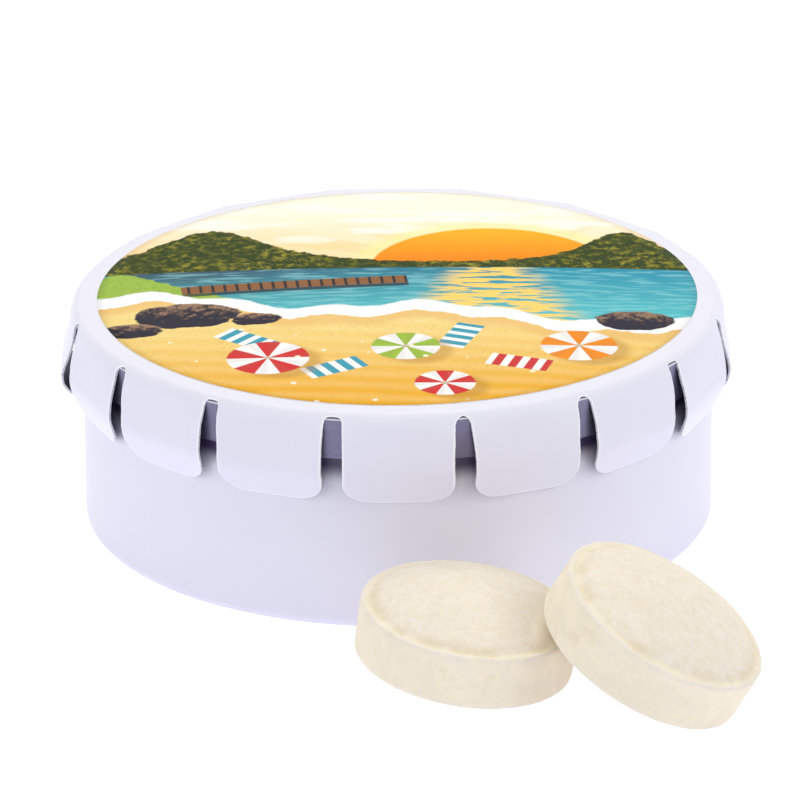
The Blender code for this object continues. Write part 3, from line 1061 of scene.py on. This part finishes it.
class MINTTIN_OT_label(bpy.types.Operator):
    """Lay the printed film on the lid's sprung centre"""

    bl_idname = "mint_tin.label"
    bl_label = "Label"

    def execute(self, context):
        settings = context.scene.mint_tin
        label = settings.label
        rise = label.film + label.glue
        points = LidSection(settings.lid).disc_points(label.radius, rise)
        upper = shared("seaside_print", print_finish, settings.finish)
        materials = (upper, shared("film_edge", film_finish))
        piece = make_disc("lid_print", points, label.film, 1, materials)
        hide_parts("lid_label")
        low = settings.lid.plane + rise
        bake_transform(piece, "lid", "lid_centre", (0, 0, low), (0, 0, low + settings.lid.dome))
        return {"FINISHED"}


# ---- mints


# the loose mints' tilt and the direction that they tilt to
LEFT_LEAN = (radians(8.8), radians(-22))
RIGHT_LEAN = (radians(30.6), radians(-16))
DOME_STEPS = 30
# the raised edge from its inner side outward, above and below, in millimetres out and up
EDGE_WIDTH = 0.36 * MM
EDGE_OUT = (0, 0.1, 0.2, 0.29, 0.34, 0.36)
CRISP_EDGE = (0, 0.02, 0, -0.06, -0.15, -0.29)
WORN_EDGE = (0, -0.02, -0.07, -0.17, -0.29, -0.46)
# round zones of a face: how far inward the middle lies, and how wide the zone is
GROOVE_ZONE = (0.24 * MM, 0.3 * MM)
RAISED_MARK = (0.18 * MM, 0.2 * MM)
# the zone of the painted shade in the groove
GROOVE_SHADE_ZONE = (0.75 * MM, 0.5 * MM)


def in_zone(inward, zone):
    """1 in the middle of a round zone, fading to both sides."""
    middle, width = zone
    return exp(-(((inward - middle) / width) ** 2))


def mint_half(size, edge):
    """Half the section of a mint, from its pole: dome, groove, raised edge and band."""
    top = size.band / 2
    face = size.radius - EDGE_WIDTH
    points = []
    for step in range(DOME_STEPS):
        radius = face * (step / DOME_STEPS) ** 0.75
        share = radius / face
        groove = in_zone(face - radius, GROOVE_ZONE)
        points.append((radius, top + size.dome * (1 - share * share) - size.groove * groove))
    points += [(face + out * MM, top + rise * MM) for out, rise in zip(EDGE_OUT, edge)]
    return points + [(size.radius, top * (1 - step / 6)) for step in range(2, 6)]


def mint_section(size):
    """The whole section of a mint, crisp above and worn below."""
    above, below = mint_half(size, CRISP_EDGE), mint_half(size, WORN_EDGE)
    return above + [(size.radius, 0)] + [(radius, -height) for radius, height in reversed(below)]


class MINTTIN_OT_mints(bpy.types.Operator):
    """Press the mints, five in the tin and two in front of it"""

    bl_idname = "mint_tin.mints"
    bl_label = "Mints"

    def execute(self, context):
        settings = context.scene.mint_tin
        sugar = shared("pressed_sugar", sugar_finish, settings.finish.sugar)
        for number in range(1, 6):
            self.make_mint(f"mint_inside_{number}", "tin", (0, 0), number, settings.mints, sugar)
        self.make_mint("mint_front_left", "mint_left", LEFT_LEAN, 6, settings.mints, sugar)
        self.make_mint("mint_front_right", "mint_right", RIGHT_LEAN, 7, settings.mints, sugar)
        return {"FINISHED"}

    def make_mint(self, node, body, lean, seed, size, sugar):
        low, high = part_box(node)
        tilt, azimuth = lean
        shape, _ = section(mint_section(size))
        turn(shape, size.steps)
        shape.normal_update()
        edge_mark, groove_shade_mark, face_mark = new_marks(shape, "raised_edge", "groove", "face")
        offset = Vector((seed * 31.7, seed * 17.3, seed * 5.1))
        moves = []
        face = size.band / 2
        for corner in shape.verts:
            inward = size.radius - hypot(corner.co.x, corner.co.y)
            off_middle = abs(corner.co.z)
            by_edge = ramp(off_middle, face - 0.5 * MM, face - 0.1 * MM)
            edge = by_edge * in_zone(inward, RAISED_MARK)
            at = corner.co / MM + offset
            grain = noise.fractal(at * 1.6, 1.0, 2.0, 5) * size.grain
            chip = max(0.0, 0.4 * noise.noise(at * 0.9) + noise.noise(at * 3.1) - 0.05)
            drop = edge * chip * 2.4 * size.chips if corner.co.z > 0 else 0
            moves.append(corner.normal * grain - Vector((0, 0, drop)))
            corner[edge_mark] = edge
            # where the painted shade in the groove lies
            corner[groove_shade_mark] = by_edge * in_zone(inward, GROOVE_SHADE_ZONE)
            # the faces, which the finish darkens with painted shade
            corner[face_mark] = ramp(off_middle, face, face + 0.2 * MM)
        for corner, move in zip(shape.verts, moves):
            corner.co += move
        leant = Matrix.Rotation(azimuth, 4, "Z") @ Matrix.Rotation(tilt, 4, "Y")
        place = Matrix.Translation((low + high) / 2) @ leant
        bmesh.ops.transform(shape, matrix=place, verts=shape.verts[:])
        piece = make_piece(node.replace("mint", "sweet"), shape, (sugar,))
        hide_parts(node)
        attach(piece, body)


# ---- stage


# the camera, fitted to the photo's picture of 800 by 800 pixels
FRAME_SIDE = 800
ORIGIN_IN_FRAME = (398.99, 508.14)
FOCAL_PIXELS = 8101.45
CAMERA_DISTANCE = 605.62 * MM
CAMERA_ELEVATION = radians(22.327)
CAMERA_ROLL = radians(-0.525)
LAMP_DISTANCE = 0.75
# setting of its power, degrees from the front to the right, degrees up, side in metres
LAMPS = (
    ("above", 0, 90, 0.5),
    ("behind", 180, 50, 0.35),
    ("left", -90, 22, 0.35),
    ("left_front", -50, 22, 0.35),
    ("front", 0, 15, 0.35),
    ("right", 70, 36, 0.35),
    ("right_front", 50, 22, 0.35),
)


class MINTTIN_OT_stage(bpy.types.Operator):
    """Set the floor, the soft light and the camera"""

    bl_idname = "mint_tin.stage"
    bl_label = "Stage"

    def execute(self, context):
        stage = context.scene.mint_tin.stage
        self.make_floor(stage)
        self.make_sky(context, stage)
        for name, azimuth, elevation, side in LAMPS:
            lamp = self.make_lamp(f"lamp_{name}", azimuth, elevation, side, getattr(stage, name))
            if name == "front":
                lamp.color = stage.front_tint
        self.make_camera(context)
        context.scene.view_settings.view_transform = "Standard"
        return {"FINISHED"}

    def make_floor(self, stage):
        shape = bmesh.new()
        bmesh.ops.create_grid(shape, x_segments=1, y_segments=1, size=4)
        made = Finish("plain_floor", 0.9)
        made.set("Base Color", stage.floor)
        made.set("Specular IOR Level", 0.0)
        glow = made.mix(made.seen(), stage.floor_glow, stage.floor_seen)
        made.set("Emission Color", glow)
        made.set("Emission Strength", 1.0)
        floor = add_object("floor", to_mesh("floor", shape, (made.material,)))

    def make_sky(self, context, stage):
        world = bpy.data.worlds.new("white_room")
        world.use_nodes = True
        graph = Graph(world.node_tree)
        back = world.node_tree.nodes["Background"]
        graph.feed(back.inputs["Color"], (1, 1, 1))
        sockets = {0: graph.seen(), 3: stage.sky, 4: 1.0}
        graph.feed(back.inputs["Strength"], graph.node("ShaderNodeMapRange", sockets=sockets))
        context.scene.world = world

    def make_lamp(self, name, azimuth, elevation, side, power):
        """Adds a square lamp aimed at the tin."""
        turned, raised = radians(azimuth - 90), radians(elevation)
        level = cos(raised)
        away = Vector((level * cos(turned), level * sin(turned), sin(raised)))
        data = bpy.data.lights.new(name, "AREA")
        data.shape = "SQUARE"
        data.size = side
        data.energy = power
        lamp = add_object(name, data)
        lamp.location = away * LAMP_DISTANCE
        lamp.rotation_euler = away.to_track_quat("Z", "Y").to_euler()
        return data

    def make_camera(self, context):
        data = bpy.data.cameras.new("camera")
        data.sensor_width = 36
        data.lens = data.sensor_width * FOCAL_PIXELS / FRAME_SIDE
        data.clip_start = 0.01
        data.clip_end = 50
        back = Vector((0, -cos(CAMERA_ELEVATION), sin(CAMERA_ELEVATION)))
        level = back.to_track_quat("Z", "Y")
        roll = Matrix.Rotation(CAMERA_ROLL, 4, "Z").to_quaternion()
        across, down = (place - FRAME_SIDE / 2 for place in ORIGIN_IN_FRAME)
        sight = Vector((across, -down, -FOCAL_PIXELS))
        aim = Vector((0, 0, -1)).rotation_difference(sight).inverted()
        camera = add_object("camera", data)
        camera.rotation_mode = "QUATERNION"
        camera.location = back * CAMERA_DISTANCE
        camera.rotation_quaternion = level @ roll @ aim
        context.scene.camera = camera


class VIEW3D_PT_mint_tin(bpy.types.Panel):
    """Lists the mint tin's sizes and steps"""

    bl_label = "Mint Tin"
    bl_space_type = "VIEW_3D"
    bl_region_type = "UI"
    bl_category = "Mint Tin"

    def draw(self, context):
        settings = context.scene.mint_tin
        for name in settings.__annotations__:
            group = getattr(settings, name)
            box = self.layout.box()
            box.label(text=name.title())
            for key in group.__annotations__:
                box.prop(group, key)
        for step in STEPS:
            self.layout.operator(step.bl_idname)


STEPS = (MINTTIN_OT_cup, MINTTIN_OT_lid, MINTTIN_OT_label, MINTTIN_OT_mints, MINTTIN_OT_stage)
GROUPS = (TinSettings, LidSettings, LabelSettings, MintSettings, FinishSettings, StageSettings)
CLASSES = (*GROUPS, MintTinSettings, *STEPS, VIEW3D_PT_mint_tin)


def register():
    for kind in CLASSES:
        bpy.utils.register_class(kind)
    bpy.types.Scene.mint_tin = PointerProperty(type=MintTinSettings)


def unregister():
    del bpy.types.Scene.mint_tin
    for kind in reversed(CLASSES):
        bpy.utils.unregister_class(kind)


def main():
    register()
    bpy.ops.mint_tin.cup()
    bpy.ops.mint_tin.lid()
    bpy.ops.mint_tin.label()
    bpy.ops.mint_tin.mints()
    bpy.ops.mint_tin.stage()


if __name__ == "__main__":
    main()
